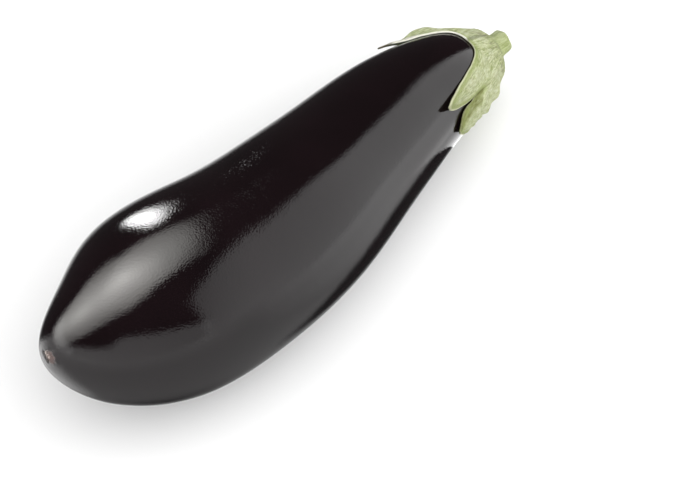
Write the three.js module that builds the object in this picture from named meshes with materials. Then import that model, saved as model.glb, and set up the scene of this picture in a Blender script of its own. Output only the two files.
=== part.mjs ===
// An aubergine as picked, lying on its side: the fruit, and the calyx with its cut stem.
// Millimetres, +Z up, +X from the blossom end towards the stem. The origin is the middle of
// the small flat spot that the fruit rests on, about 65 long and 16 wide.
import * as THREE from 'three';

// ---- driving dimensions ----------------------------------------------------------------

// Fruit: half-widths at distances from the blossom end, and the roundness of its two ends.
const fruitLength = 236;
const halfWidths = [
  [14, 22.8], [33, 34.9], [57, 40.0], [85, 38.8], [118, 36.3], [151, 31.9], [184, 27.3], [212, 21.3],
];
const blossomEndRadius = 16.7;
const stemEndRadius = 15.6;

// Bend: how far the middle line lies to the side at distances from the blossom end.
const sideways = [
  [0, 0], [19, -5.9], [47, -10.1], [94, -13.5], [142, -7.7], [189, -0.1], [217, 0.5], [fruitLength, 0],
];

// Rest: distance of the contact from the blossom end, and how deep the skin is pressed flat.
const restAlong = 106.5;
const restDepth = 0.9;

// Blossom scar: a short crack off the fruit's tip. Its azimuth and offset place its middle
// round the tip, and its angle is measured from the +Y side.
const scarAzimuth = 126;
const scarOffset = 5.6;
const crackAngle = 16;
const crackHalfLength = 2.6;
const crackHalfWidth = 0.8;
const crackDepth = 0.8;

// Fineness of the fruit: sides round it, steps along it, and rings close to the scar.
const fruitSides = 60;
const fruitSteps = 34;
const scarRings = [1.6, 3.2, 4.2, 4.9, 5.6, 6.3, 7.0];
const ringGap = 0.02;

// Calyx: its sepal tips and the notches between them, in turn round the fruit. Azimuth is in
// degrees (0 to the +Y side, 90 on top, 180 to the -Y side, 270 below) and reach is measured
// over the skin from the stem end. Bow shapes each edge from notch to tip: above 1 it is
// hollow, below 1 it bellies out. Lift is how far the tip curls off the skin, and stand how
// far the outer part is clear of it. Body is extra flesh in the sepal's middle. Fold is the
// height of a crease that runs along the sepal at foldAcross (0 to 1 across it), strongest at
// the reach foldReach and fading over foldLength.
const notches = [
  { azimuth: -2, reach: 24 },
  { azimuth: 92, reach: 22.3 },
  { azimuth: 151.5, reach: 31 },
  { azimuth: 198, reach: 22.5 },
  { azimuth: 252, reach: 24 },
  { azimuth: 306, reach: 22 },
];
const sepals = [
  {
    azimuth: 28, reach: 51.5, bowBefore: 3.6, bowAfter: 4.4, lift: 0, stand: 1.5, body: 2.2,
    fold: 0.5, foldAcross: 0.44, foldReach: 35.5, foldLength: 5.5,
  },
  {
    azimuth: 139, reach: 58.5, bowBefore: 3.0, bowAfter: 0.36, lift: 2.1, stand: 0, body: 0,
    fold: 0.5, foldAcross: 0.44, foldReach: 36, foldLength: 12,
  },
  {
    azimuth: 171, reach: 54, bowBefore: 0.3, bowAfter: 0.48, lift: 1.2, stand: 0, body: 0,
    fold: 2.4, foldAcross: 0.22, foldReach: 44, foldLength: 13,
  },
  {
    azimuth: 226, reach: 47, bowBefore: 3.0, bowAfter: 1.2, lift: 0.8, stand: 0, body: 0,
    fold: 0.4, foldAcross: 0.44, foldReach: 36, foldLength: 9,
  },
  {
    azimuth: 281, reach: 44, bowBefore: 1.4, bowAfter: 1.6, lift: 0.3, stand: 0, body: 0,
    fold: 0.2, foldAcross: 0.44, foldReach: 34, foldLength: 8,
  },
  {
    azimuth: 334, reach: 48, bowBefore: 1.7, bowAfter: 1.2, lift: 1.0, stand: 0, body: 0,
    fold: 0.4, foldAcross: 0.44, foldReach: 36, foldLength: 9,
  },
];

// Bulges of the cap, and a dent between two of them.
const bulges = [
  { azimuth: 186, reach: 20.5, azimuthSpread: 12, reachSpread: 2.8, height: 1.4 },
  { azimuth: 182, reach: 25.6, azimuthSpread: 10, reachSpread: 2.0, height: -0.5 },
  { azimuth: 194, reach: 28.5, azimuthSpread: 9, reachSpread: 3.0, height: 1.2 },
];
const tipHalfAngle = 1.3;
const calyxClearance = 0.45;
const leastClearance = 0.3;
const sepalThickness = 1.3;
const sepalEdgeThickness = 0.6;
const liftStart = 24;
const standStart = 38;
const standEnd = 50;
const capReach = 19;

// A sepal thins from this share of its reach on. Its extra flesh begins at a reach and ends
// at a distance from the tip; the crease's two flanks are wide by these shares of the sepal,
// and its line wanders out from one edge to its place.
const thinningShare = 0.7;
const bodyStart = [22, 30];
const bodyEnd = [8, 16];
const creaseWidths = [0.13, 0.28];
const creaseStart = [29, 38];

// Fineness of the calyx: columns at each edge of a sepal, and degrees for one more; then its
// rings, by reach over the cap and by their share of the way from the cap to the edge.
const columnsPerEdge = 3;
const columnAngle = 6;
const undersideReaches = [4, 8, 11.5, 15];
const undersideShares = [0, 0.13, 0.28, 0.46, 0.68, 1];
const topShares = [1, 0.94, 0.85, 0.74, 0.62, 0.5, 0.39, 0.28, 0.18, 0.09, 0];
const topReaches = [16, 13, 11.5];

// Fleshy collar where the calyx swells up to the stem, and the stem above it.
const collarReach = 10.5;
const collarThickness = 2.6;
const collarFade = 3.5;
const stemProfile = [
  [1.9, 10.4], [2.9, 8.4], [4.2, 6.9], [6.0, 5.9], [8.6, 5.4], [11.0, 5.3], [11.9, 4.6], [12.2, 3.0],
];
const stemTopHeight = 12.0;
const stemLean = 0.9;
const stemLeanAzimuth = 40;
const stemLeanStart = 3;

// ---- curves ----------------------------------------------------------------------------

/** The natural cubic spline through [x, y] points, as a function of x. */
function smoothCurve(points) {
  const count = points.length;
  const gap = (i) => points[i + 1][0] - points[i][0];
  const rise = (i) => (points[i + 1][1] - points[i][1]) / gap(i);
  const bend = new Array(count).fill(0);
  const pivot = new Array(count).fill(0);
  for (let i = 1; i < count - 1; i++) {
    const share = i > 1 ? gap(i - 1) / pivot[i - 1] : 0;
    pivot[i] = 2 * (gap(i - 1) + gap(i)) - share * (i > 1 ? gap(i - 1) : 0);
    bend[i] = 6 * (rise(i) - rise(i - 1)) - share * bend[i - 1];
  }
  for (let i = count - 2; i > 0; i--) {
    bend[i] = (bend[i] - gap(i) * bend[i + 1]) / pivot[i];
  }
  return (x) => {
    let i = 0;
    while (i < count - 2 && x > points[i + 1][0]) i++;
    const width = gap(i);
    const after = (x - points[i][0]) / width;
    const before = 1 - after;
    const straight = before * points[i][1] + after * points[i + 1][1];
    const curved = (before ** 3 - before) * bend[i] + (after ** 3 - after) * bend[i + 1];
    return straight + (curved * width * width) / 6;
  };
}

const smoothStep = (low, high, value) => THREE.MathUtils.smoothstep(value, low, high);
const radians = THREE.MathUtils.degToRad;

// ---- the fruit's skin ------------------------------------------------------------------

// The skin is swept by two angles: turn runs from 0 at the blossom end to pi at the stem end,
// and around is the azimuth. Half-widths are divided by the ellipse factor sin(turn) / 2, so
// that both ends close smoothly.
const ellipseFactor = (along) => Math.sqrt((along / fruitLength) * (1 - along / fruitLength));
const fullness = smoothCurve([
  [0, Math.sqrt(2 * blossomEndRadius * fruitLength)],
  ...halfWidths.map(([along, half]) => [along, half / ellipseFactor(along)]),
  [fruitLength, Math.sqrt(2 * stemEndRadius * fruitLength)],
]);
const sidewaysCurve = smoothCurve(sideways);

const alongAt = (turn) => (fruitLength * (1 - Math.cos(turn))) / 2;
const turnAt = (along) => Math.acos(1 - (2 * along) / fruitLength);
const halfWidthAt = (turn) => (Math.sin(turn) / 2) * fullness(alongAt(turn));

/** Unit direction of the skin's outline at a turn, as [along, outwards]. */
function outlineDirection(turn) {
  const step = 1e-4;
  const along = alongAt(turn + step) - alongAt(turn - step);
  const out = halfWidthAt(turn + step) - halfWidthAt(turn - step);
  const length = Math.hypot(along, out);
  return [along / length, out / length];
}

/** A point in the fruit's own axes, outwards and forwards of its middle line at a distance. */
function fromMiddleLine(along, around, outwards, forwards) {
  const step = 0.01;
  const slope = (sidewaysCurve(along + step) - sidewaysCurve(along - step)) / (2 * step);
  const tangent = new THREE.Vector3(1, slope, 0).normalize();
  const side = new THREE.Vector3(-tangent.y, tangent.x, 0);
  return new THREE.Vector3(along, sidewaysCurve(along), 0)
    .addScaledVector(side, outwards * Math.cos(around))
    .addScaledVector(tangent, forwards)
    .add(new THREE.Vector3(0, 0, outwards * Math.sin(around)));
}

/** A point that stands proud of the skin by a distance, in the fruit's own axes. */
function offSkin(turn, around, proud) {
  const [along, out] = outlineDirection(turn);
  return fromMiddleLine(alongAt(turn), around, halfWidthAt(turn) + along * proud, -out * proud);
}

// The fruit lies with the skin level at the contact, so the outline's slope there tips it.
const straightDown = radians(270);
const [contactAlong, contactOut] = outlineDirection(turnAt(restAlong));
const tilt = new THREE.Matrix4().makeRotationY(Math.atan2(-contactOut, contactAlong));
const contact = offSkin(turnAt(restAlong), straightDown, 0).applyMatrix4(tilt);

/** Moves a point from the fruit's own axes to where the fruit lies. */
function lay(point) {
  return point.applyMatrix4(tilt).sub(contact).sub(new THREE.Vector3(0, 0, restDepth));
}

// ---- closed meshes ---------------------------------------------------------------------

/** A closed skin over rings of equal length, from a first point to a last point. */
function ringedGeometry(first, rings, last) {
  const sides = rings[0].length;
  const points = [first, ...rings.flat(), last];
  const faces = [];
  const at = (ring, side) => 1 + ring * sides + (side % sides);
  for (let side = 0; side < sides; side++) {
    faces.push(0, at(0, side + 1), at(0, side));
    for (let ring = 0; ring < rings.length - 1; ring++) {
      faces.push(at(ring, side), at(ring, side + 1), at(ring + 1, side + 1));
      faces.push(at(ring, side), at(ring + 1, side + 1), at(ring + 1, side));
    }
    faces.push(points.length - 1, at(rings.length - 1, side), at(rings.length - 1, side + 1));
  }
  const geometry = new THREE.BufferGeometry().setFromPoints(points);
  geometry.setIndex(faces);
  geometry.computeVertexNormals();
  return geometry;
}

// ---- fruit -----------------------------------------------------------------------------

/** Depth of the blossom scar's crack, at a distance and azimuth round the fruit's tip. */
function crackDepthAt(distance, around) {
  const beside = distance * Math.cos(around) - scarOffset * Math.cos(radians(scarAzimuth));
  const above = distance * Math.sin(around) - scarOffset * Math.sin(radians(scarAzimuth));
  const angle = radians(crackAngle);
  const along = beside * Math.cos(angle) + above * Math.sin(angle);
  const off = above * Math.cos(angle) - beside * Math.sin(angle);
  return crackDepth * Math.exp(-((off / crackHalfWidth) ** 2) - (along / crackHalfLength) ** 4);
}

function fruitGeometry() {
  const scarTurns = scarRings.map((distance) => turnAt(distance ** 2 / (2 * blossomEndRadius)));
  const evenTurns = Array.from(
    { length: fruitSteps - 1 },
    (_, i) => (Math.PI * (i + 1)) / fruitSteps,
  );
  const turns = [...scarTurns, ...evenTurns.filter((turn) => turn > scarTurns.at(-1) + ringGap)];
  const place = (turn, side) => {
    const around = (2 * Math.PI * side) / fruitSides;
    const depth = turn < Math.PI / 2 ? crackDepthAt(halfWidthAt(turn), around) : 0;
    const point = lay(offSkin(turn, around, -depth));
    point.z = Math.max(point.z, 0);
    return point;
  };
  const ring = (turn) => Array.from({ length: fruitSides }, (_, side) => place(turn, side));
  return ringedGeometry(place(0, 0), turns.map(ring), place(Math.PI, 0));
}

// ---- calyx with stem -------------------------------------------------------------------

/** Turn of the skin at each distance over it from the stem end. */
function measureReach() {
  const steps = 2000;
  const table = [[0, Math.PI]];
  let reach = 0;
  for (let i = 1; i <= steps / 2; i++) {
    const turn = Math.PI * (1 - i / steps);
    const before = Math.PI * (1 - (i - 1) / steps);
    reach += Math.hypot(alongAt(turn) - alongAt(before), halfWidthAt(turn) - halfWidthAt(before));
    table.push([reach, turn]);
  }
  return (wanted) => {
    const i = Math.max(1, table.findIndex(([value]) => value >= wanted));
    const share = (wanted - table[i - 1][0]) / (table[i][0] - table[i - 1][0]);
    return table[i - 1][1] + share * (table[i][1] - table[i - 1][1]);
  };
}
const turnAtReach = measureReach();

/** The columns of the calyx: azimuth, reach of its edge there, and the sepal it belongs to. */
function calyxColumns() {
  const columns = [];
  const addEdge = (notch, sepal, tipSide, bow, forwards) => {
    const width = sepal.azimuth + tipSide * tipHalfAngle - notch.azimuth;
    const steps = Math.ceil(columnsPerEdge + Math.abs(width) / columnAngle);
    const evenness = bow > 1 ? 0.75 : 0.15;
    // The last point of an outward edge is the next edge's first, so it is left out.
    const count = forwards ? steps + 1 : steps;
    for (let i = 0; i < count; i++) {
      const share = (forwards ? i : steps - i) / steps;
      const across = evenness * share + (1 - evenness) * share ** (1 / bow);
      columns.push({
        azimuth: radians(notch.azimuth + width * across),
        reach: notch.reach + (sepal.reach - notch.reach) * across ** bow,
        sepal,
      });
    }
  };
  sepals.forEach((sepal, i) => {
    addEdge(notches[i], sepal, -1, sepal.bowBefore, true);
    addEdge(notchAfter(i), sepal, 1, sepal.bowAfter, false);
  });
  return columns;
}

/** The notch on the far side of a sepal; the last sepal's is the first notch, a turn on. */
function notchAfter(i) {
  const isLast = i === sepals.length - 1;
  return isLast ? { ...notches[0], azimuth: notches[0].azimuth + 360 } : notches[i + 1];
}

/** How far a column lies across its sepal at a reach, from 0 to 1. */
function acrossSepal({ azimuth, sepal }, reach) {
  const i = sepals.indexOf(sepal);
  const edge = (notch, bow) => {
    const climb = Math.max(0, (reach - notch.reach) / (sepal.reach - notch.reach));
    return radians(notch.azimuth + (sepal.azimuth - notch.azimuth) * climb ** (1 / bow));
  };
  const before = edge(notches[i], sepal.bowBefore);
  const after = edge(notchAfter(i), sepal.bowAfter);
  const width = Math.max(after - before, radians(2 * tipHalfAngle));
  return THREE.MathUtils.clamp((azimuth - before) / width, 0, 1);
}

/** Height of the crease along a sepal. */
function creaseHeight(column, reach) {
  const { fold, foldAcross, foldReach, foldLength } = column.sepal;
  const fromMiddle = acrossSepal(column, reach) - foldAcross * smoothStep(...creaseStart, reach);
  const away = Math.abs(fromMiddle) / creaseWidths[fromMiddle < 0 ? 0 : 1];
  return fold * Math.exp(-(away ** 1.3) - ((reach - foldReach) / foldLength) ** 2);
}

/** How far the calyx's underside stands off the skin. */
function calyxLift(column, reach) {
  const { sepal } = column;
  const curl = Math.max(0, (reach - liftStart) / (sepal.reach - liftStart));
  const stand = sepal.stand * smoothStep(standStart, standEnd, reach);
  const swelling = bulges.reduce((sum, bulge) => {
    const beside = (THREE.MathUtils.radToDeg(column.azimuth) - bulge.azimuth) / bulge.azimuthSpread;
    const beyond = (reach - bulge.reach) / bulge.reachSpread;
    return sum + bulge.height * Math.exp(-(beside ** 2) - beyond ** 2);
  }, 0);
  const lift = sepal.lift * curl ** 3 + stand + creaseHeight(column, reach) + swelling;
  return Math.max(leastClearance, calyxClearance + lift);
}

/** How far its top stands off: a fleshy collar, then sepals that thin to their edges. */
function calyxTop(column, reach) {
  const collar = collarThickness * Math.exp((collarReach - reach) / collarFade);
  const inside = 1 - smoothStep(thinningShare, 1, reach / column.reach);
  const swell = (sepalThickness - sepalEdgeThickness + collar) * inside;
  const toTip = column.sepal.reach - reach;
  const body = column.sepal.body * smoothStep(...bodyStart, reach) * smoothStep(...bodyEnd, toTip);
  return calyxLift(column, reach) + sepalEdgeThickness + swell + body;
}

function calyxGeometry() {
  const columns = calyxColumns();
  const capRing = (reach, proudOf) => columns.map((column) => (
    lay(offSkin(turnAtReach(reach), column.azimuth, proudOf(column, reach)))
  ));
  const sepalRing = (share, proudOf) => columns.map((column) => {
    const reach = capReach + (column.reach - capReach) * share;
    return lay(offSkin(turnAtReach(reach), column.azimuth, proudOf(column, reach)));
  });
  const stemRing = (height, radius) => columns.map(({ azimuth }) => {
    const rising = smoothStep(stemLeanStart, stemTopHeight, height);
    const lean = stemLean * Math.cos(azimuth - radians(stemLeanAzimuth)) * rising;
    return lay(fromMiddleLine(fruitLength, azimuth, radius + lean, height));
  });
  const rings = [
    ...undersideReaches.map((reach) => capRing(reach, calyxLift)),
    ...undersideShares.map((share) => sepalRing(share, calyxLift)),
    ...topShares.map((share) => sepalRing(share, calyxTop)),
    ...[...topReaches, collarReach].map((reach) => capRing(reach, calyxTop)),
    ...stemProfile.map(([height, radius]) => stemRing(height, radius)),
  ];
  const underside = lay(fromMiddleLine(fruitLength, 0, 0, calyxClearance));
  const stemTop = lay(fromMiddleLine(fruitLength, 0, 0, stemTopHeight));
  return ringedGeometry(underside, rings, stemTop);
}

// ---- the part --------------------------------------------------------------------------

const skinMaterial = new THREE.MeshStandardMaterial({ color: 0x0e090b, roughness: 0.12, metalness: 0 });
const calyxMaterial = new THREE.MeshStandardMaterial({ color: 0x959a76, roughness: 0.8, metalness: 0 });

const fruit = new THREE.Mesh(fruitGeometry(), skinMaterial);
fruit.name = 'fruit';

const calyx = new THREE.Mesh(calyxGeometry(), calyxMaterial);
calyx.name = 'calyx';

const aubergine = new THREE.Group();
aubergine.add(fruit, calyx);

export default aubergine;
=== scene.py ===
"""Looks of the eggplant: a glossy, near-black fruit and its dry green calyx on a pale floor."""

import math

import bpy
import numpy as np
from mathutils import Matrix, Vector, noise


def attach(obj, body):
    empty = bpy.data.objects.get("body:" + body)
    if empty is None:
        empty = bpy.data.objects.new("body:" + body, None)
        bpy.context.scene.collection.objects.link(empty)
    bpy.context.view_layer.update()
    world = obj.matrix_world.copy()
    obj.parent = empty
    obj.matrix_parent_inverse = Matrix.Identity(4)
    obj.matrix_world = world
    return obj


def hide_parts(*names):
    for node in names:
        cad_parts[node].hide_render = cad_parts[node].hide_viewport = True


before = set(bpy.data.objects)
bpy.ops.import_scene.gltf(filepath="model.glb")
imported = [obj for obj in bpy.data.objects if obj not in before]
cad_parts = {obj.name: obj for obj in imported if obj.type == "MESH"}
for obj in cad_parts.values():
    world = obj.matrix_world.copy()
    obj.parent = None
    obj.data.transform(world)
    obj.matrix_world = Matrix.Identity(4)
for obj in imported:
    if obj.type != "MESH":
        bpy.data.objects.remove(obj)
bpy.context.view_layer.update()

MM = 0.001

# ---- the eggplant's driving dimensions, in millimetres and degrees -----------------------

FRUIT_LENGTH = 236.0
# Half the fruit's thickness, and the bend of its middle line, as (place along it, distance).
HALF_WIDTHS = [
    (14, 22.8), (33, 34.9), (57, 40.0), (85, 38.8), (118, 36.3), (151, 31.9), (184, 27.3), (212, 21.3),
]
BLOSSOM_END_RADIUS = 16.7
STEM_END_RADIUS = 15.6
SIDEWAYS = [
    (0, 0), (19, -5.9), (47, -10.1), (94, -13.5), (142, -7.7), (189, -0.1), (217, 0.5), (236, 0),
]
# Where along it the fruit rests, and how deep its flat spot is.
REST_ALONG = 106.5
REST_DEPTH = 0.9

# Unevenness of the grown skin as (height, length of its waves, seed), and how far it is sunk.
SWELLS = [(0.08, 26, 3.1), (0.012, 9, 7.7)]
SWELL_SINK = 0.15

# The blossom scar lies off the fruit's tip: a crack at an angle of its own, with torn flakes and
# a patch of cork beside it. Places are along the crack and off it.
SCAR_AZIMUTH = 126.0
SCAR_OFFSET = 5.6
SCAR_RADIUS = 2.4
CRACK_ANGLE = 16.0
CRACK_HALF_LENGTH = 2.6
CRACK_HALF_WIDTH = 0.6
CRACK_DEPTH = 0.8
FLAKES_OFF = 2.1
FLAKES_WIDTH = 0.7
FLAKES_HEIGHT = 0.40
CORK_PLACE = (-1.6, 2.4)
CORK_HEIGHT = 0.12

# Notches of the calyx as (azimuth, reach), and its sepals between them. Reach is the distance
# over the skin from the stem end. Bows shape each edge from notch to tip, lift curls the tip up,
# stand keeps the outer part clear of the skin, body is extra flesh in the middle, and crumple
# waves the margins. A fold runs along each sepal: its height, its place across (0 to 1), and the
# reach where it is strongest with the length over which it fades.
NOTCHES = [(-2, 24), (92, 22.3), (151.5, 31), (198, 22.5), (252, 24), (306, 22), (358, 24)]
SEPALS = [
    {
        "azimuth": 28, "reach": 51.5, "bows": (3.6, 4.4), "lift": 0.0, "stand": 1.5, "body": 2.2,
        "crumple": 0.2, "fold": 0.5, "fold_across": 0.44, "folded": (35.5, 5.5),
    },
    {
        "azimuth": 139, "reach": 58.5, "bows": (3.0, 0.36), "lift": 2.1, "stand": 0.0, "body": 0.0,
        "crumple": 0.25, "fold": 0.5, "fold_across": 0.44, "folded": (36, 12),
    },
    {
        "azimuth": 171, "reach": 54.0, "bows": (0.3, 0.48), "lift": 1.2, "stand": 0.0, "body": 0.0,
        "crumple": 1.1, "fold": 2.4, "fold_across": 0.22, "folded": (44, 13),
    },
    {
        "azimuth": 226, "reach": 47, "bows": (3.0, 1.2), "lift": 0.8, "stand": 0.0, "body": 0.0,
        "crumple": 0.5, "fold": 0.4, "fold_across": 0.44, "folded": (36, 9),
    },
    {
        "azimuth": 281, "reach": 44, "bows": (1.4, 1.6), "lift": 0.3, "stand": 0.0, "body": 0.0,
        "crumple": 0.2, "fold": 0.2, "fold_across": 0.44, "folded": (34, 8),
    },
    {
        "azimuth": 334, "reach": 48, "bows": (1.7, 1.2), "lift": 1.0, "stand": 0.0, "body": 0.0,
        "crumple": 0.4, "fold": 0.4, "fold_across": 0.44, "folded": (36, 9),
    },
]
FAR_SEPAL = 0
FOLDED_SEPAL = 2
# Bulges and a dent of the cap: azimuth, reach, spread of each, height.
BULGES = [(186, 20.5, 12, 2.8, 1.4), (182, 25.6, 10, 2.0, -0.5), (194, 28.5, 9, 3.0, 1.2)]
TIP_HALF_ANGLE = 1.3
CALYX_CLEARANCE = 0.45
SEPAL_THICKNESS = 1.3
SEPAL_EDGE_THICKNESS = 0.6
MARGIN_CLEARANCE = 0.10
LIFT_START = 24.0
# What counts as the distance from the rim under the cap, where there is none.
FAR_FROM_RIM = 9
# Reaches between which sepals come to stand and grow their body, and the fold leaves the edge;
# the body ends between two distances from the edge. Crumpled margins also sway sideways, by an
# angle in radians for each millimetre of crumple.
CRUMPLE_SWAY = 0.045
STAND_REACHES = (38, 50)
BODY_REACHES = (22, 30)
BODY_FROM_EDGE = (9, 20)
FOLD_REACHES = (29, 38)
CAP_REACH = 19.0
COLLAR_REACH = 10.5
COLLAR_THICKNESS = 2.6
COLLAR_FADE = 3.5
RIM_RIDGE = 0.14
RIM_GROOVE = 0.24
VEIN_HEIGHT = 0.16
FIBRE_HEIGHT = 0.13
CREASE_DEPTH = 0.35
CREASE_REACH = 12.5
CREASE_SPREAD = 2.4
# The stem's outline as (height over the stem end, radius).
STEM_PROFILE = [
    (1.9, 10.4), (2.9, 8.4), (4.2, 6.9), (6.0, 5.9), (8.6, 5.4), (11.0, 5.3), (11.9, 4.6), (12.2, 3.0),
]
STEM_TOP_HEIGHT = 12.0
STEM_LEAN = 0.9
STEM_LEAN_AZIMUTH = 40.0
STEM_RIBS = 5
STEM_RIB_HEIGHT = 0.22
STEM_LUMP_HEIGHT = 0.25


# ---- curves ------------------------------------------------------------------------------

def smooth_curve(points):
    """The natural cubic spline through (x, y) points, as a function of arrays."""
    x, y = np.array(points, float).T
    gap = np.diff(x)
    rise = np.diff(y) / gap
    size = len(x)
    system = np.eye(size)
    right = np.zeros(size)
    for i in range(1, size - 1):
        system[i, i - 1:i + 2] = gap[i - 1], 2 * (gap[i - 1] + gap[i]), gap[i]
        right[i] = 6 * (rise[i] - rise[i - 1])
    bend = np.linalg.solve(system, right)

    def curve(value):
        value = np.asarray(value, float)
        i = np.clip(np.searchsorted(x, value) - 1, 0, size - 2)
        after = (value - x[i]) / gap[i]
        before = 1 - after
        straight = before * y[i] + after * y[i + 1]
        curved = (before ** 3 - before) * bend[i] + (after ** 3 - after) * bend[i + 1]
        return straight + curved * gap[i] ** 2 / 6

    return curve


def smooth_step(low, high, value):
    share = np.clip((value - low) / (high - low), 0, 1)
    return share * share * (3 - 2 * share)


# ---- the fruit's skin --------------------------------------------------------------------

# The skin is swept by two angles: turn runs from 0 at the blossom end to pi at the stem end,
# and around is the azimuth: 0 to the +Y side, 90 degrees on top, 180 to the -Y side.

def ellipse_factor(along):
    """Half width of an ellipse of the fruit's length and a width of 1, at a place along it."""
    return math.sqrt(along / FRUIT_LENGTH * (1 - along / FRUIT_LENGTH))


fullness = smooth_curve(
    [(0, math.sqrt(2 * BLOSSOM_END_RADIUS * FRUIT_LENGTH))]
    + [(along, half / ellipse_factor(along)) for along, half in HALF_WIDTHS]
    + [(FRUIT_LENGTH, math.sqrt(2 * STEM_END_RADIUS * FRUIT_LENGTH))]
)
sideways = smooth_curve(SIDEWAYS)


def along_at(turn):
    return FRUIT_LENGTH * (1 - np.cos(turn)) / 2


def turn_at(along):
    return np.arccos(1 - 2 * along / FRUIT_LENGTH)


def half_width_at(turn):
    return np.sin(turn) / 2 * fullness(along_at(turn))


def outline_direction(turn):
    """Unit direction of the skin's outline at a turn, as (along, outwards)."""
    step = 1e-4
    along = along_at(turn + step) - along_at(turn - step)
    out = half_width_at(turn + step) - half_width_at(turn - step)
    length = np.hypot(along, out)
    return along / length, out / length


def from_middle_line(along, around, outwards, forwards):
    """Points in the fruit's own axes, outwards and forwards of its middle line at a distance."""
    step = 0.01
    slope = (sideways(along + step) - sideways(along - step)) / (2 * step)
    length = np.hypot(1, slope)
    ahead = outwards * np.cos(around)
    x = along + (forwards - slope * ahead) / length
    y = sideways(along) + (slope * forwards + ahead) / length
    z = outwards * np.sin(around)
    return np.stack(np.broadcast_arrays(x, y, z), -1)


def off_skin(turn, around, proud):
    """Points that stand proud of the skin by a distance, in the fruit's own axes."""
    along, out = outline_direction(turn)
    return from_middle_line(along_at(turn), around, half_width_at(turn) + along * proud, -out * proud)


contact_along, contact_out = outline_direction(turn_at(REST_ALONG))
tip_angle = math.atan2(-contact_out, contact_along)


def tip(points):
    """Turns points about Y by the angle at which the fruit lies."""
    x, y, z = np.moveaxis(points, -1, 0)
    cosine, sine = math.cos(tip_angle), math.sin(tip_angle)
    return np.stack([x * cosine + z * sine, y, z * cosine - x * sine], -1)


contact = tip(off_skin(turn_at(REST_ALONG), math.radians(270), 0.0))


def lay(points):
    """Moves points from the fruit's own axes to where the fruit lies."""
    return tip(points) - contact - np.array([0, 0, REST_DEPTH])


# ---- meshes ------------------------------------------------------------------------------

def make_mesh(name, points, faces, material):
    mesh = bpy.data.meshes.new(name)
    mesh.from_pydata((points * MM).tolist(), [], faces)
    mesh.polygons.foreach_set("use_smooth", [True] * len(mesh.polygons))
    mesh.materials.append(material)
    mesh.update()
    thing = bpy.data.objects.new(name, mesh)
    bpy.context.scene.collection.objects.link(thing)
    return thing


def ringed_faces(rings, sides):
    """Faces of a closed skin: a first point, rings of equal length, and a last point."""
    around = np.arange(sides)
    beside = (around + 1) % sides
    faces = [(0, 1 + b, 1 + a) for a, b in zip(around, beside)]
    for ring in range(rings - 1):
        low = 1 + ring * sides
        high = low + sides
        faces += [(low + a, low + b, high + b, high + a) for a, b in zip(around, beside)]
    last = 1 + rings * sides
    faces += [(last, last - sides + a, last - sides + b) for a, b in zip(around, beside)]
    return faces


def ringed_points(first, rings, last):
    return np.concatenate([first.reshape(1, 3), rings.reshape(-1, 3), last.reshape(1, 3)])


def ringed_values(first, rings, last):
    return np.concatenate([[first], rings.ravel(), [last]])


def set_attribute(thing, name, values):
    layer = thing.data.attributes.new(name, "FLOAT", "POINT")
    layer.data.foreach_set("value", np.asarray(values, np.float32).ravel())


def noise_at(points, seed):
    """Smooth noise from -1 to 1 at each point."""
    return np.array([noise.noise(Vector(p) + Vector((seed, -seed, seed))) for p in points.tolist()])


# ---- materials ---------------------------------------------------------------------------

class Nodes:
    """A short way to write the node tree of a material or a light."""

    def __init__(self, owner):
        owner.use_nodes = True
        self.owner = owner
        self.tree = owner.node_tree
        self.shader = self.tree.nodes[0]
        for node in self.tree.nodes:
            if node.type in ("BSDF_PRINCIPLED", "EMISSION", "BACKGROUND"):
                self.shader = node

    def add(self, kind, inputs=None, **settings):
        node = self.tree.nodes.new(kind)
        for key, value in settings.items():
            setattr(node, key, value)
        for key, value in (inputs or {}).items():
            self.put(node.inputs[key], value)
        return node

    def put(self, socket, value):
        if isinstance(value, bpy.types.NodeSocket):
            self.tree.links.new(value, socket)
        else:
            socket.default_value = value

    def shade(self, **inputs):
        for key, value in inputs.items():
            self.put(self.shader.inputs[key.replace("_", " ")], value)

    def attribute(self, name):
        return self.add("ShaderNodeAttribute", attribute_name=name).outputs["Fac"]

    def place(self):
        return self.add("ShaderNodeTexCoord").outputs["Object"]

    def noise(self, vector, scale, detail=2.0, roughness=0.5):
        inputs = {"Vector": vector, "Scale": scale, "Detail": detail, "Roughness": roughness}
        return self.add("ShaderNodeTexNoise", inputs).outputs["Fac"]

    def math(self, operation, a, b=0.0):
        return self.add("ShaderNodeMath", {0: a, 1: b}, operation=operation).outputs[0]

    def times(self, a, b):
        return self.math("MULTIPLY", a, b)

    def larger(self, a, b):
        return self.math("MAXIMUM", a, b)

    def span(self, value, low, high, to_low=0.0, to_high=1.0):
        inputs = {"Value": value, "From Min": low, "From Max": high}
        inputs |= {"To Min": to_low, "To Max": to_high}
        return self.add("ShaderNodeMapRange", inputs).outputs["Result"]

    def mix(self, share, a, b):
        node = self.add("ShaderNodeMix", data_type="RGBA")
        self.put(node.inputs[0], share)
        self.put(node.inputs[6], a)
        self.put(node.inputs[7], b)
        return node.outputs[2]

    def bump(self, height, distance, normal=None):
        inputs = {"Height": height, "Distance": distance, "Strength": 1.0}
        if normal is not None:
            inputs["Normal"] = normal
        return self.add("ShaderNodeBump", inputs).outputs["Normal"]


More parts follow.
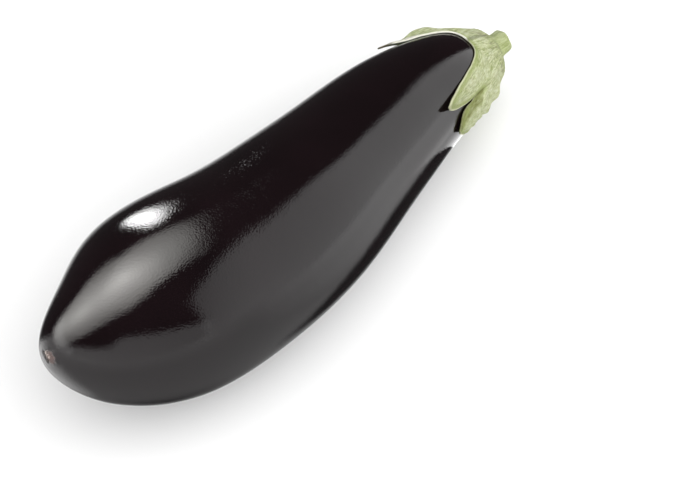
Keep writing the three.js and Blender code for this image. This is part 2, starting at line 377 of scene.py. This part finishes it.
def skin_material():
    """Near-black waxy skin with a fine grain, a few pale dots and a corky scar."""
    nodes = Nodes(bpy.data.materials.new("skin"))
    place = nodes.place()
    cork = nodes.attribute("cork")
    flakes = nodes.attribute("flakes")
    crack = nodes.attribute("crack")
    nose = nodes.attribute("nose")

    black = (0.0024, 0.0012, 0.0015, 1)
    plum = (0.0036, 0.0017, 0.0022, 1)
    blotches = nodes.span(nodes.noise(place, 28, 3), 0.35, 0.7)
    colour = nodes.mix(blotches, black, plum)

    # Small pale dots near the blossom end, in a few of the cells.
    pale_dot_colour = (0.26, 0.21, 0.20, 1)
    cells = nodes.add("ShaderNodeTexVoronoi", {"Vector": place, "Scale": 420.0, "Randomness": 1.0})
    near = nodes.span(cells.outputs["Distance"], 0.05, 0.12, 1.0, 0.0)
    few = nodes.math("GREATER_THAN", cells.outputs["Color"], 0.80)
    pale_dots = nodes.times(nodes.times(near, few), nose)
    colour = nodes.mix(nodes.times(pale_dots, 0.6), colour, pale_dot_colour)

    dark_bark = (0.055, 0.026, 0.024, 1)
    pale_bark = (0.30, 0.19, 0.17, 1)
    flake_colour = (0.62, 0.52, 0.47, 1)
    crack_colour = (0.012, 0.006, 0.005, 1)
    cork_grain = nodes.noise(place, 1800, 3, 0.7)
    bark = nodes.mix(cork_grain, dark_bark, pale_bark)
    colour = nodes.mix(nodes.times(cork, 0.38), colour, bark)
    colour = nodes.mix(flakes, colour, flake_colour)
    colour = nodes.mix(crack, colour, crack_colour)

    smears = nodes.noise(place, 45, 4, 0.6)
    polish = nodes.span(smears, 0.3, 0.7, 0.04, 0.07)
    scar = nodes.larger(cork, nodes.larger(flakes, crack))
    roughness = nodes.larger(polish, nodes.times(scar, 0.6))

    waves = nodes.bump(nodes.noise(place, 210, 2, 0.5), 0.00004)
    grain = nodes.bump(nodes.noise(place, 1500, 1, 0.5), 0.00005, waves)
    finished = nodes.bump(nodes.times(cork_grain, scar), 0.0006, grain)
    nodes.shade(Base_Color=colour, Roughness=roughness, IOR=1.5, Normal=finished)
    return nodes.owner


def calyx_material():
    """Dry green calyx: fibres from stem to tips, pale dust, olive edges with a rim partly of painted
    highlight, painted shade on a fold and in creases, and a corky cut.
    """
    nodes = Nodes(bpy.data.materials.new("calyx"))
    place = nodes.place()
    grain_map = nodes.add("ShaderNodeUVMap", uv_map="grain").outputs["UV"]

    def drawn_out(share):
        """The grain map, drawn out along the sepals."""
        inputs = {"Vector": grain_map, "Scale": (1.0, share, 1.0)}
        return nodes.add("ShaderNodeMapping", inputs).outputs["Vector"]

    fibre_place = drawn_out(0.11)
    fine = nodes.noise(fibre_place, 1.5, 3, 0.7)
    coarse = nodes.noise(fibre_place, 0.45, 3, 0.6)
    flecks = nodes.noise(drawn_out(0.24), 1.8, 3, 0.6)
    dust = nodes.span(nodes.noise(place, 190, 4, 0.65), 0.42, 0.62)
    edge = nodes.attribute("edge")
    fibrous = nodes.span(fine, 0.40, 0.60, 0.35, 1)
    dark_wood = (0.14, 0.10, 0.05, 1)
    pale_wood = (0.31, 0.27, 0.16, 1)
    wood = nodes.mix(nodes.noise(place, 700, 3, 0.6), dark_wood, pale_wood)

    green = (0.19, 0.23, 0.07, 1)
    pale_green = (0.43, 0.46, 0.27, 1)
    colour = nodes.mix(nodes.span(fine, 0.40, 0.60), green, pale_green)
    # Layers over this: the share of each, and its colour.
    layers = [
        # Coarse fibres, dust, veins, and dark and pale flecks.
        (nodes.span(coarse, 0.46, 0.66, 0.0, 0.6), (0.20, 0.23, 0.08, 1)),
        (nodes.times(dust, 0.5), (0.41, 0.42, 0.30, 1)),
        (nodes.times(nodes.attribute("vein"), 0.5), (0.44, 0.45, 0.28, 1)),
        (nodes.span(flecks, 0.50, 0.66, 0.0, 0.55), (0.16, 0.18, 0.05, 1)),
        (nodes.span(flecks, 0.48, 0.34, 0.0, 0.5), (0.54, 0.56, 0.41, 1)),
        # A green band along the edges, the edges themselves, pale and partly a painted highlight, and
        # the far sepal's pale margin, widened near its tip into a painted light line.
        (nodes.times(nodes.span(edge, 0.08, 0.26), 0.6), (0.22, 0.27, 0.07, 1)),
        (nodes.span(edge, 0.72, 0.96, 0.0, 0.7), (0.44, 0.44, 0.30, 1)),
        (nodes.span(nodes.attribute("margin_and_painted_light"), 0.3, 0.6), (0.70, 0.70, 0.60, 1)),
        # Painted shade darkening the folded sepal's flank on one side of its fold, the stem, the
        # underside, painted shade in the creases, and a darker tip on the far sepal.
        (nodes.times(nodes.attribute("painted_shade_flank"), fibrous), (0.13, 0.14, 0.04, 1)),
        (nodes.times(nodes.attribute("stem"), 0.4), (0.26, 0.31, 0.10, 1)),
        (nodes.times(nodes.attribute("below"), 0.7), (0.30, 0.31, 0.18, 1)),
        (nodes.times(nodes.attribute("crease_and_shade"), 0.6), (0.12, 0.11, 0.05, 1)),
        (nodes.attribute("dark_tip"), (0.07, 0.06, 0.03, 1)),
        (nodes.attribute("cut"), wood),
    ]
    for share, tint in layers:
        colour = nodes.mix(share, colour, tint)

    ridges = nodes.bump(nodes.math("SUBTRACT", fine, flecks), 0.0006)
    finished = nodes.bump(nodes.noise(place, 1100, 3, 0.6), 0.0003, ridges)
    roughness = nodes.span(fine, 0.2, 0.8, 0.62, 0.8)
    nodes.shade(Base_Color=colour, Roughness=roughness, IOR=1.42, Normal=finished)
    return nodes.owner


# ---- fruit -------------------------------------------------------------------------------

def scar_shape(turns, arounds):
    """Relief of the blossom scar and the shares of its cork, pale flakes and dark crack."""
    distance = half_width_at(turns)
    azimuth, angle = math.radians(SCAR_AZIMUTH), math.radians(CRACK_ANGLE)
    beside = distance * np.cos(arounds) - SCAR_OFFSET * math.cos(azimuth)
    above = distance * np.sin(arounds) - SCAR_OFFSET * math.sin(azimuth)
    along_crack = beside * math.cos(angle) + above * math.sin(angle)
    off_crack = above * math.cos(angle) - beside * math.sin(angle)
    near = (turns < 1) & (np.hypot(beside, above) < 3 * SCAR_RADIUS)
    places = np.stack([beside, above, 0 * above], -1)[near]
    ragged, fine = np.zeros(turns.shape), np.zeros(turns.shape)
    ragged[near] = noise_at(places / 1.2, 5.3)
    fine[near] = noise_at(places / 0.5, 8.1)

    from_crack = off_crack + 0.4 * ragged + 0.12 * fine
    ends = smooth_step(1.2 * CRACK_HALF_LENGTH, 0.8 * CRACK_HALF_LENGTH, np.abs(along_crack))
    crack = np.exp(-(from_crack / CRACK_HALF_WIDTH) ** 2) * ends
    torn = smooth_step(-0.05, 0.25, fine + 0.5 * ragged)
    flakes = np.exp(-((from_crack - FLAKES_OFF) / FLAKES_WIDTH) ** 2) * torn
    flakes = flakes * smooth_step(2.2, 1.2, np.abs(along_crack + 0.2))
    from_cork = np.hypot(along_crack - CORK_PLACE[0], off_crack - CORK_PLACE[1]) + 0.7 * ragged
    cork = smooth_step(1.3 * SCAR_RADIUS, 0.5 * SCAR_RADIUS, from_cork)
    swelling = np.exp(-((from_cork - 1.2 * SCAR_RADIUS) / 0.9) ** 2)
    relief = CORK_HEIGHT * swelling + CORK_HEIGHT * cork * fine
    relief = np.where(near, relief + FLAKES_HEIGHT * flakes - CRACK_DEPTH * crack, 0)
    shares = {"cork": cork, "flakes": flakes, "crack": crack}
    return relief, {name: np.where(near, share, 0) for name, share in shares.items()}


def make_fruit():
    """One closed mesh of rings, from the blossom end to the stem end, flat where it rests."""
    sides, rings = 256, 330
    step = (np.arange(rings) + 1) / (rings + 1)
    turn = math.pi * step - 0.25 * np.sin(2 * math.pi * step)
    around = np.arange(sides) * 2 * math.pi / sides
    turns, arounds = np.meshgrid(turn, around, indexing="ij")
    smooth = off_skin(turns, arounds, 0.0).reshape(-1, 3)
    swell = sum(height * noise_at(smooth / length, seed) for height, length, seed in SWELLS)
    swell = (swell - SWELL_SINK).reshape(turns.shape)
    relief, shares = scar_shape(turns, arounds)
    proud = swell * smooth_step(2, 12, half_width_at(turns)) + relief

    # The floor presses the underside flat.
    skin = lay(off_skin(turns, arounds, proud))
    skin[..., 2] = np.maximum(skin[..., 2], 0)
    first = lay(off_skin(np.array(0.0), np.array(0.0), 0.0))
    last = lay(off_skin(np.array(math.pi), np.array(0.0), 0.0))
    faces = ringed_faces(rings, sides)
    fruit = make_mesh("fruit_skin", ringed_points(first, skin, last), faces, skin_material())
    shares["nose"] = smooth_step(24, 8, along_at(turns))
    for name, values in shares.items():
        set_attribute(fruit, name, ringed_values(0, values, 0))
    return fruit


# ---- calyx with stem ---------------------------------------------------------------------

reach_turns = np.linspace(math.pi, math.pi / 2, 2000)
reach_steps = np.hypot(np.diff(along_at(reach_turns)), np.diff(half_width_at(reach_turns)))
reach_table = np.concatenate([[0], np.cumsum(reach_steps)])


def turn_at_reach(reach):
    """Turn of the skin at a distance over it from the stem end."""
    return np.interp(reach, reach_table, reach_turns)


def calyx_columns(spacing):
    """Columns round the calyx: azimuth and edge reach of each, and the sepal it belongs to.

    The spacing is in degrees; the columns crowd together where an edge is steep.
    """
    azimuths, edges, owners = [], [], []
    for owner, sepal in enumerate(SEPALS):
        before, after = sepal["bows"]
        sides = ((NOTCHES[owner], -1, before, 1), (NOTCHES[owner + 1], 1, after, -1))
        for (azimuth, reach), tip_side, bow, order in sides:
            width = sepal["azimuth"] + tip_side * TIP_HALF_ANGLE - azimuth
            steps = int(12 + abs(width) / spacing)
            share = np.arange(steps + 1) / steps
            evenness = 0.75 if bow > 1 else 0.15
            across = evenness * share + (1 - evenness) * share ** (1 / bow)
            if order < 0:
                across = across[:0:-1]
            azimuths.append(np.radians(azimuth + width * across))
            edges.append(reach + (sepal["reach"] - reach) * across ** bow)
            owners.append(np.full(len(across), owner))
    return np.concatenate(azimuths), np.concatenate(edges), np.concatenate(owners)


def place_in_sepal(azimuth, reach, owners):
    """How far each point lies across its sepal, from 0 to 1, and its distance from the margins."""
    across = np.zeros_like(reach)
    short = np.zeros_like(reach)
    width = np.ones_like(reach)
    for owner, sepal in enumerate(SEPALS):
        sides = []
        for (notch_azimuth, notch_reach), bow in zip(NOTCHES[owner:owner + 2], sepal["bows"]):
            climb = np.clip((reach - notch_reach) / (sepal["reach"] - notch_reach), 0, 1) ** (1 / bow)
            sides.append(np.radians(notch_azimuth + (sepal["azimuth"] - notch_azimuth) * climb))
        span = np.maximum(sides[1] - sides[0], 1e-3)
        mine = owners == owner
        across[mine] = np.clip((azimuth - sides[0]) / span, 0, 1)[mine]
        width[mine] = (span * half_width_at(turn_at_reach(reach)))[mine]
        notch = np.where(across < 0.5, NOTCHES[owner][1], NOTCHES[owner + 1][1])
        short[mine] = np.maximum(notch - reach, 0)[mine]
    return across, np.hypot(np.minimum(across, 1 - across) * width, short)


def stem_shape(columns):
    """The stem's rings: their azimuths, their heights and their points.

    It is ribbed lengthwise and a little lumpy, leans, and has a rough cut end.
    """
    steps = np.linspace(0, len(STEM_PROFILE) - 1, 60)
    height_curve = smooth_curve([(i, height) for i, (height, _) in enumerate(STEM_PROFILE)])
    radius_curve = smooth_curve([(i, radius) for i, (_, radius) in enumerate(STEM_PROFILE)])
    height = np.repeat(height_curve(steps)[:, None], len(columns), 1)
    radius = np.repeat(radius_curve(steps)[:, None], len(columns), 1)
    azimuth = np.broadcast_to(columns, height.shape)
    smooth = from_middle_line(height, azimuth, radius, 0.0).reshape(-1, 3)
    lumps = noise_at(smooth / 3.2, 4.1).reshape(height.shape)
    ribs = np.sin(STEM_RIBS * azimuth + 0.5 * lumps)
    standing = smooth_step(2.5, 6, height)
    radius = radius + standing * (STEM_RIB_HEIGHT * ribs + STEM_LUMP_HEIGHT * lumps)
    leaning = STEM_LEAN * np.cos(azimuth - math.radians(STEM_LEAN_AZIMUTH))
    radius = radius + leaning * smooth_step(3, 12, height)
    height = height + 0.2 * (lumps - 0.5) * smooth_step(10, 12, height)
    return azimuth, height, lay(from_middle_line(FRUIT_LENGTH, azimuth, radius, height))


def add_grain_map(thing, u, v):
    """A UV map of the values at a mesh's points."""
    corners = np.empty(len(thing.data.loops), np.int32)
    thing.data.loops.foreach_get("vertex_index", corners)
    grain_map = np.stack([u[corners], v[corners]], -1)
    layer = thing.data.uv_layers.new(name="grain")
    layer.data.foreach_set("uv", grain_map.astype(np.float32).ravel())


def make_calyx():
    """One closed mesh of rings: under the cap to its edge, back over the cap, and up the stem."""
    column_azimuth, column_edge, column_owner = calyx_columns(spacing=1.4)
    columns = len(column_azimuth)
    under_cap = np.linspace(2, CAP_REACH, 8, endpoint=False)
    over_cap = np.linspace(COLLAR_REACH, CAP_REACH, 16, endpoint=False)
    under_share = np.linspace(0, 1, 22)
    over_share = 1 - (1 - np.linspace(0, 1, 64)) ** 1.25

    def cap_rings(reaches):
        return np.repeat(reaches[:, None], columns, 1)

    def sepal_rings(shares):
        return CAP_REACH + (column_edge - CAP_REACH) * shares[:, None]

    reach = np.concatenate([
        cap_rings(under_cap), sepal_rings(under_share),
        sepal_rings(over_share[::-1]), cap_rings(over_cap[::-1]),
    ])
    is_top = np.zeros(reach.shape, bool)
    is_top[len(under_cap) + len(under_share):] = True
    azimuth = np.broadcast_to(column_azimuth, reach.shape)
    owner = np.broadcast_to(column_owner, reach.shape)

    def of_sepal(key):
        return np.array([sepal[key] for sepal in SEPALS])[owner]

    def pattern(points, seed):
        return noise_at(points.reshape(-1, 3), seed).reshape(reach.shape)

    across, from_edge = place_in_sepal(azimuth, reach, owner)
    to_edge = column_edge - reach
    from_rim = np.minimum(from_edge, np.where(reach > CAP_REACH, to_edge, FAR_FROM_RIM))
    beyond = np.clip((reach - LIFT_START) / (of_sepal("reach") - LIFT_START), 0, 1)

    # Lifted tips, a fold along each sepal, and crumpled margins that otherwise hug the skin.
    base = off_skin(turn_at_reach(reach), azimuth, 0.0)
    waves = pattern(base / 6.5, 11.3)
    crumple = waves + 0.6 * pattern(base / 2.6, 2.9)
    crumpled = smooth_step(0, 0.35, beyond) * of_sepal("crumple")
    fold_across = of_sepal("fold_across") * smooth_step(*FOLD_REACHES, reach)
    fold_reach, fold_length = np.moveaxis(of_sepal("folded"), -1, 0)
    from_fold = np.abs(across - fold_across) / np.where(across < fold_across, 0.13, 0.28)
    folded = np.exp(-((reach - fold_reach) / fold_length) ** 2)
    ridge = np.exp(-np.hypot(from_fold, 0.12) ** 1.3) * folded * smooth_step(0, 2.5, from_rim)
    hugging = smooth_step(0.3, 2.5, from_rim)
    under = MARGIN_CLEARANCE + (CALYX_CLEARANCE - MARGIN_CLEARANCE) * hugging
    under = under + of_sepal("lift") * beyond ** 3
    under = under + of_sepal("fold") * ridge + crumpled * np.maximum(crumple, -0.3)
    under = under + of_sepal("stand") * smooth_step(*STAND_REACHES, reach)
    for middle_azimuth, middle_reach, azimuth_spread, reach_spread, rise in BULGES:
        beside = (np.degrees(azimuth) - middle_azimuth) / azimuth_spread
        farther = (reach - middle_reach) / reach_spread
        under = under + rise * np.exp(-beside ** 2 - farther ** 2)
    azimuth = azimuth + CRUMPLE_SWAY * crumpled * waves

    # Body of the cap: fleshy at the collar, thinning to the margins, with veins and fibres.
    collar = COLLAR_THICKNESS * np.exp((COLLAR_REACH - reach) / COLLAR_FADE)
    inside = 1 - smooth_step(0.7, 1, reach / column_edge)
    thickness = SEPAL_EDGE_THICKNESS + (SEPAL_THICKNESS - SEPAL_EDGE_THICKNESS + collar) * inside
    fleshy = smooth_step(*BODY_REACHES, reach) * smooth_step(*BODY_FROM_EDGE, to_edge)
    thickness = thickness + of_sepal("body") * fleshy
    rim_ridge = RIM_RIDGE * np.exp(-((from_rim - 0.7) / 0.5) ** 2)
    rim_groove = RIM_GROOVE * np.exp(-((from_rim - 2.1) / 0.7) ** 2)
    lines = np.stack([across * 7 + owner * 9.0, reach / 32, 0 * reach], -1)
    vein = np.exp(-(pattern(lines, 6.1) / 0.11) ** 2)
    threads = np.stack([across * 24 + owner * 9.0, reach / 11, 0 * reach], -1)
    fibre = pattern(threads, 1.7)
    creases = np.stack([np.cos(azimuth) * 7, np.sin(azimuth) * 7, reach / 9], -1)
    crease_and_shade = np.exp(-(pattern(creases, 8.8) / 0.10) ** 2)
    crease_and_shade = crease_and_shade * np.exp(-((reach - CREASE_REACH) / CREASE_SPREAD) ** 2)
    detail = (rim_ridge - rim_groove) * smooth_step(16, 26, reach)
    detail = detail + VEIN_HEIGHT * vein + FIBRE_HEIGHT * fibre - CREASE_DEPTH * crease_and_shade
    proud = np.where(is_top, under + thickness + detail * smooth_step(0, 0.8, from_rim), under)
    cap = lay(off_skin(turn_at_reach(reach), azimuth, proud))

    stem_azimuth, stem_height, stem = stem_shape(column_azimuth)
    rings = np.concatenate([cap, stem])
    first = lay(off_skin(np.array(math.pi), np.array(0.0), CALYX_CLEARANCE))
    last = lay(from_middle_line(FRUIT_LENGTH, 0.0, 0.0, STEM_TOP_HEIGHT))
    faces = ringed_faces(len(rings), columns)
    calyx = make_mesh("calyx_and_stem", ringed_points(first, rings, last), faces, calyx_material())

    # Masks for the colours, first on the cap and then on the stem.
    is_far, is_folded = owner == FAR_SEPAL, owner == FOLDED_SEPAL
    # The far sepal's pale margin widens near its tip into a painted light line.
    margin_and_light_width = 0.6 + 1.4 * smooth_step(33, 38, reach) * smooth_step(49, 45, reach)
    no_cap, no_stem = np.zeros(reach.shape), np.zeros(stem_height.shape)
    masks = {
        "edge": (np.exp(-from_rim / 0.9), no_stem),
        "vein": (vein, no_stem),
        "stem": (smooth_step(14, 9, reach), no_stem + 1),
        "below": (np.where(is_top, 0.0, smooth_step(0.4, 1.6, from_rim)), no_stem),
        # Painted shade: the folded sepal's flank on one side of its fold is darkened.
        "painted_shade_flank": (smooth_step(0.03, -0.03, across - fold_across) * is_folded, no_stem),
        # Painted shade: the creases round the cap are darkened along their grooves.
        "crease_and_shade": (crease_and_shade, no_stem),
        "margin_and_painted_light": (np.exp(-from_rim / margin_and_light_width) * is_far * (across > 0.5), no_stem),
        # Darker at the far sepal's tip.
        "dark_tip": (smooth_step(45, 47, reach) * is_far, no_stem),
        "cut": (no_cap, smooth_step(11.6, 12.0, stem_height)),
    }
    for name, on_rings in masks.items():
        on_end = 1 if name == "cut" else 0
        set_attribute(calyx, name, ringed_values(0, np.concatenate(on_rings), on_end))

    # The grain map runs across the sepals in U and along them in V, in millimetres.
    u = np.concatenate([across * 14 + owner * 31.0, stem_azimuth * 6])
    v = np.concatenate([reach, COLLAR_REACH - stem_height])
    add_grain_map(calyx, ringed_values(0, u, 0), ringed_values(0, v, 0))
    return calyx


# ---- studio ------------------------------------------------------------------------------

def facing(azimuth, elevation):
    """Unit vector towards an azimuth (0 is the -Y side, 90 the +X side) and an elevation."""
    a, e = math.radians(azimuth), math.radians(elevation)
    return Vector((math.sin(a) * math.cos(e), -math.cos(a) * math.cos(e), math.sin(e)))


# Lights stand at the studio's radius round its middle, in metres; the floor is in millimetres.
STUDIO_RADIUS = 4.0
MIDDLE = Vector((0.02, 0, 0.04))
UP = Vector((0, 0, 1))
FLOOR_RADIUS = 8000.0
PANE_EDGE = 0.04
KEY_STRENGTH = 2.45
FILL_STRENGTH = 1.85

CAMERA_AIM = Vector((0.0218, -0.0202, 0.0290))
CAMERA_AZIMUTH = -42.15
CAMERA_ELEVATION = 57.50
CAMERA_DISTANCE = 0.7693


def make_camera():
    back = facing(CAMERA_AZIMUTH, CAMERA_ELEVATION)
    camera = bpy.data.objects.new("camera", bpy.data.cameras.new("camera"))
    camera.data.lens = 100
    camera.data.sensor_width = 36
    camera.location = CAMERA_AIM + back * CAMERA_DISTANCE
    camera.rotation_euler = (-back).to_track_quat("-Z", "Y").to_euler()
    bpy.context.scene.collection.objects.link(camera)
    bpy.context.scene.camera = camera


def make_light(name, place, right, up, size):
    """An area light with its right and up sides given, its nodes, and the place within it."""
    data = bpy.data.lights.new(name, "AREA")
    data.shape = "RECTANGLE"
    data.size, data.size_y = size
    data.energy = size[0] * size[1] * math.pi
    light = bpy.data.objects.new(name, data)
    x, y = Vector(right).normalized(), Vector(up).normalized()
    turn = Matrix((x, y, x.cross(y))).transposed()
    light.matrix_world = Matrix.Translation(place) @ turn.to_4x4()
    light.visible_camera = False
    bpy.context.scene.collection.objects.link(light)
    nodes = Nodes(data)
    return light, nodes, nodes.add("ShaderNodeNewGeometry").outputs["Parametric"]


def in_plane(nodes, place, middle, reach, turn):
    """Place in a light's plane, in reaches from a middle and turned; lengths in studio radii."""
    inputs = {
        "Vector": place,
        "Location": (middle[0] * STUDIO_RADIUS, middle[1] * STUDIO_RADIUS, 0.0),
        "Rotation": (0.0, 0.0, math.radians(turn)),
        "Scale": (reach[0] * STUDIO_RADIUS, reach[1] * STUDIO_RADIUS, 1.0),
    }
    return nodes.add("ShaderNodeMapping", inputs, vector_type="TEXTURE").outputs["Vector"]


def make_glow(name, place, right, up, size, base, glows, panes):
    """A light made of soft ellipses, cut out by oblong panes.

    A glow is (middle, reach, turn, hardness, peak) and a pane is (middle, reach, turn).
    """
    light, nodes, spot = make_light(name, place, right, up, size)
    corner = (-size[0] / 2, -size[1] / 2, 0.0)
    inputs = {"Vector": spot, "Location": corner, "Scale": (*size, 1.0)}
    metres = nodes.add("ShaderNodeMapping", inputs).outputs["Vector"]
    strength = base
    for middle, reach, turn, hardness, peak in glows:
        local = in_plane(nodes, metres, middle, reach, turn)
        cone = nodes.add("ShaderNodeTexGradient", {"Vector": local}, gradient_type="SPHERICAL")
        glow = nodes.times(nodes.math("POWER", cone.outputs["Fac"], hardness), peak)
        strength = nodes.math("ADD", strength, glow)
    opening = 0.0
    for middle, reach, turn in panes:
        local = in_plane(nodes, metres, middle, reach, turn)
        sides = nodes.add("ShaderNodeSeparateXYZ", {"Vector": local}).outputs
        share = 1.0
        for side, half in zip(("X", "Y"), reach):
            inward = nodes.math("SUBTRACT", 1.0, nodes.math("ABSOLUTE", sides[side]))
            share = nodes.times(share, nodes.span(inward, 0.0, PANE_EDGE / half))
        opening = nodes.larger(opening, share)
    if panes:
        strength = nodes.times(strength, opening)
    nodes.shade(Strength=strength)
    return light, nodes


def make_standing_panel(name, azimuth, width, height, glows, top_share, soft_edge, wing=(0, 0)):
    """An upright panel with glows at its left and right, and the share of them left at its top.

    Sizes are in studio radii. A wing adds its width on the right, up to its own height.
    """
    ahead = facing(azimuth, 0)
    across = UP.cross(ahead)
    whole = width + wing[0]
    place = MIDDLE + STUDIO_RADIUS * (ahead + height / 2 * UP + wing[0] / 2 * across)
    size = (whole * STUDIO_RADIUS, height * STUDIO_RADIUS)
    _, nodes, spot = make_light(name, place, across, UP, size)
    sides = nodes.add("ShaderNodeSeparateXYZ", {"Vector": spot}).outputs
    strength = nodes.span(sides["X"], 0, 1, *glows)
    strength = nodes.times(strength, nodes.span(sides["Y"], 0, 1, 1.08, top_share))
    if wing[0]:
        beside = nodes.span(sides["X"], width / whole, (width - soft_edge) / whole)
        under = nodes.span(sides["Y"], wing[1] / height, (wing[1] - soft_edge) / height)
        strength = nodes.times(strength, nodes.larger(beside, under))
    for side, length in ((sides["X"], whole), (sides["Y"], height)):
        inward = nodes.math("PINGPONG", side, 0.5)
        inputs = {"Value": inward, "From Max": soft_edge / length}
        fade = nodes.add("ShaderNodeMapRange", inputs, interpolation_type="SMOOTHSTEP")
        strength = nodes.times(strength, fade.outputs["Result"])
    nodes.shade(Strength=strength)


def make_world():
    """Dim above; below the horizon pale, as the skin mirrors it in place of the floor."""
    world = bpy.data.worlds.new("studio")
    nodes = Nodes(world)
    towards = nodes.add("ShaderNodeTexCoord").outputs["Generated"]
    level = nodes.add("ShaderNodeVectorMath", {0: towards, 1: (1, 1, 0)}, operation="MULTIPLY")
    level = level.outputs[0]
    length = nodes.add("ShaderNodeVectorMath", {0: level}, operation="LENGTH").outputs["Value"]
    height = nodes.add("ShaderNodeSeparateXYZ", {"Vector": towards}).outputs["Z"]

    def share_near(azimuth, elevation, low, high):
        """Share of a direction that rises from 0 to 1 between two cosines of the angle to it."""
        inputs = {0: towards, 1: facing(azimuth, elevation)}
        cosine = nodes.add("ShaderNodeVectorMath", inputs, operation="DOT_PRODUCT")
        return nodes.span(cosine.outputs["Value"], low, high)

    # Paler to the right and to the left, dark behind and in a patch low on the right.
    pale = nodes.math("ADD", nodes.times(length, 0.93), nodes.span(height, -0.25, 0, 0, 0.2))
    right = nodes.math("ADD", 1.0, share_near(55, -8, 0.80, 0.99))
    left = nodes.times(share_near(-130, -42, 0.83, 0.965), 1.2)
    pale = nodes.math("ADD", nodes.times(pale, right), left)
    open_left = share_near(-47, -28, -0.05, 0.05)
    open_right = share_near(15, -25, -0.04, 0.06)
    patch = nodes.math("SUBTRACT", 1.0, share_near(75, -52, 0.943, 0.960))
    pale = nodes.times(nodes.times(pale, nodes.larger(open_left, open_right)), patch)
    # The floor behind shows at the far rim, where the skin is seen edge-on.
    behind = nodes.times(share_near(158, -54, 0.90, 0.985), 0.95)
    pale = nodes.larger(pale, behind)
    below = nodes.span(height, 0.04, 0.0)
    strength = nodes.math("ADD", nodes.times(pale, below), 0.05)
    nodes.shade(Color=(1, 1, 1, 1), Strength=strength)
    bpy.context.scene.world = world


def make_softbox_and_key():
    """A softbox behind and above for the gloss, and a plain key in its place for the rest."""
    towards = Vector((-0.30, 0.45, 0.84)).normalized()
    level = UP.cross(towards).normalized()
    upright = towards.cross(level)
    place = MIDDLE + STUDIO_RADIUS * (towards - 0.5 * upright)
    size = (2.2 * STUDIO_RADIUS, 4.0 * STUDIO_RADIUS)
    wide = ((0.25, -0.05), (0.91, 1.68), -5, 2.5, 7.3)
    near = ((-0.12, 0.79), (0.77, 0.64), -9, 0.73, 4.4)
    lamp = ((0.04, 0.49), (0.54, 0.76), 7.5, 2.4, 6.4)
    long_pane = ((0.35, -0.18), (0.58, 0.90), 15)
    cross_pane = ((-0.18, 0.82), (0.72, 0.56), -36)
    glows, panes = (wide, near, lamp), (long_pane, cross_pane)
    softbox, nodes = make_glow("softbox", place, level, upright, size, 1.2, glows, panes)
    nodes.shade(Color=(1.0, 0.995, 0.955, 1.0))
    softbox.visible_diffuse = False

    key, nodes, _ = make_light("key", place, level, upright, size)
    nodes.shade(Strength=KEY_STRENGTH)
    key.visible_glossy = False


def make_flash():
    """A low flash behind the fruit, which gives the white highlight."""
    ahead = facing(160.5, 15)
    up = UP - ahead * ahead.z
    size = (0.4 * STUDIO_RADIUS, 1.0 * STUDIO_RADIUS)
    bulb = ((0.02, 0), (0.125, 0.36), 12, 0.3, 11.0)
    core = ((0.03, 0.04), (0.09, 0.33), 12, 0.5, 13.0)
    place = MIDDLE + STUDIO_RADIUS * ahead
    flash, _ = make_glow("flash", place, up.cross(ahead), up, size, 0.0, (bulb, core), ())
    flash.visible_diffuse = False


def make_front_card():
    """A long card in front, higher on its right."""
    ahead = facing(-43, 0)
    place = MIDDLE + STUDIO_RADIUS * (ahead + 0.36 * UP)
    size = (3.3 * STUDIO_RADIUS, 0.72 * STUDIO_RADIUS)
    foot = ((-0.9, -0.5), (1.6, 0.9), 0, 1.0, 0.45)
    low_pane = ((-0.35, -0.13), (1.25, 0.23), 0)
    high_pane = ((0.26, -0.05), (0.69, 0.27), -8)
    panes = (low_pane, high_pane)
    make_glow("front_card", place, UP.cross(ahead), UP, size, 0.92, (foot,), panes)


def make_fill():
    """A wide fill from above the front, which lightens the shadows but not the gloss."""
    towards = facing(-20, 72)
    level = UP.cross(towards).normalized()
    place = MIDDLE + STUDIO_RADIUS * towards
    size = (2.6 * STUDIO_RADIUS, 2.6 * STUDIO_RADIUS)
    fill, nodes, _ = make_light("fill", place, level, towards.cross(level), size)
    nodes.shade(Strength=FILL_STRENGTH)
    fill.visible_glossy = False


def make_floor_patch():
    """The bright floor off the stem end, which only the gloss shows."""
    place = Vector((0.1350, -0.0300, 0.001))
    right, up = (0.942, 0.336, 0), (0.336, -0.942, 0)
    patch, nodes, spot = make_light("floor_patch", place, right, up, (0.045, 0.090))
    along = nodes.add("ShaderNodeSeparateXYZ", {"Vector": spot}).outputs["Y"]
    nodes.shade(Strength=nodes.span(along, 0.2, 0.9, 2.0, 0.1))
    patch.visible_diffuse = False


def make_studio():
    make_softbox_and_key()
    make_flash()
    make_front_card()
    make_standing_panel(
        "right_panel", azimuth=44, width=2.11, height=1.67,
        glows=(0.95, 2.4), top_share=0.62, soft_edge=0.06, wing=(0.54, 1.07),
    )
    make_standing_panel(
        "left_card", azimuth=-121, width=0.86, height=0.24,
        glows=(1.65, 1.5), top_share=1.0, soft_edge=0.04,
    )
    make_fill()
    make_floor_patch()
    make_world()
    bpy.context.scene.view_settings.view_transform = "Standard"


def make_floor():
    """A plain pale disc, which doesn't show in the gloss."""
    nodes = Nodes(bpy.data.materials.new("floor"))
    tone = nodes.span(nodes.noise(nodes.place(), 3, 3), 0.3, 0.7, 0.74, 0.78)
    grey = nodes.add("ShaderNodeCombineColor", {"Red": tone, "Green": tone, "Blue": tone})
    nodes.shade(Base_Color=grey.outputs["Color"], Roughness=0.9, IOR=1.3)
    angles = np.linspace(0, 2 * math.pi, 96, endpoint=False)
    rim = np.stack([FLOOR_RADIUS * np.cos(angles), FLOOR_RADIUS * np.sin(angles), 0 * angles], -1)
    floor = make_mesh("floor", rim, [list(range(len(angles)))], nodes.owner)
    floor.visible_glossy = False


make_camera()
make_studio()
make_floor()

fruit = make_fruit()
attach(fruit, "root")
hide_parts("fruit")

calyx = make_calyx()
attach(calyx, "root")
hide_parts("calyx")
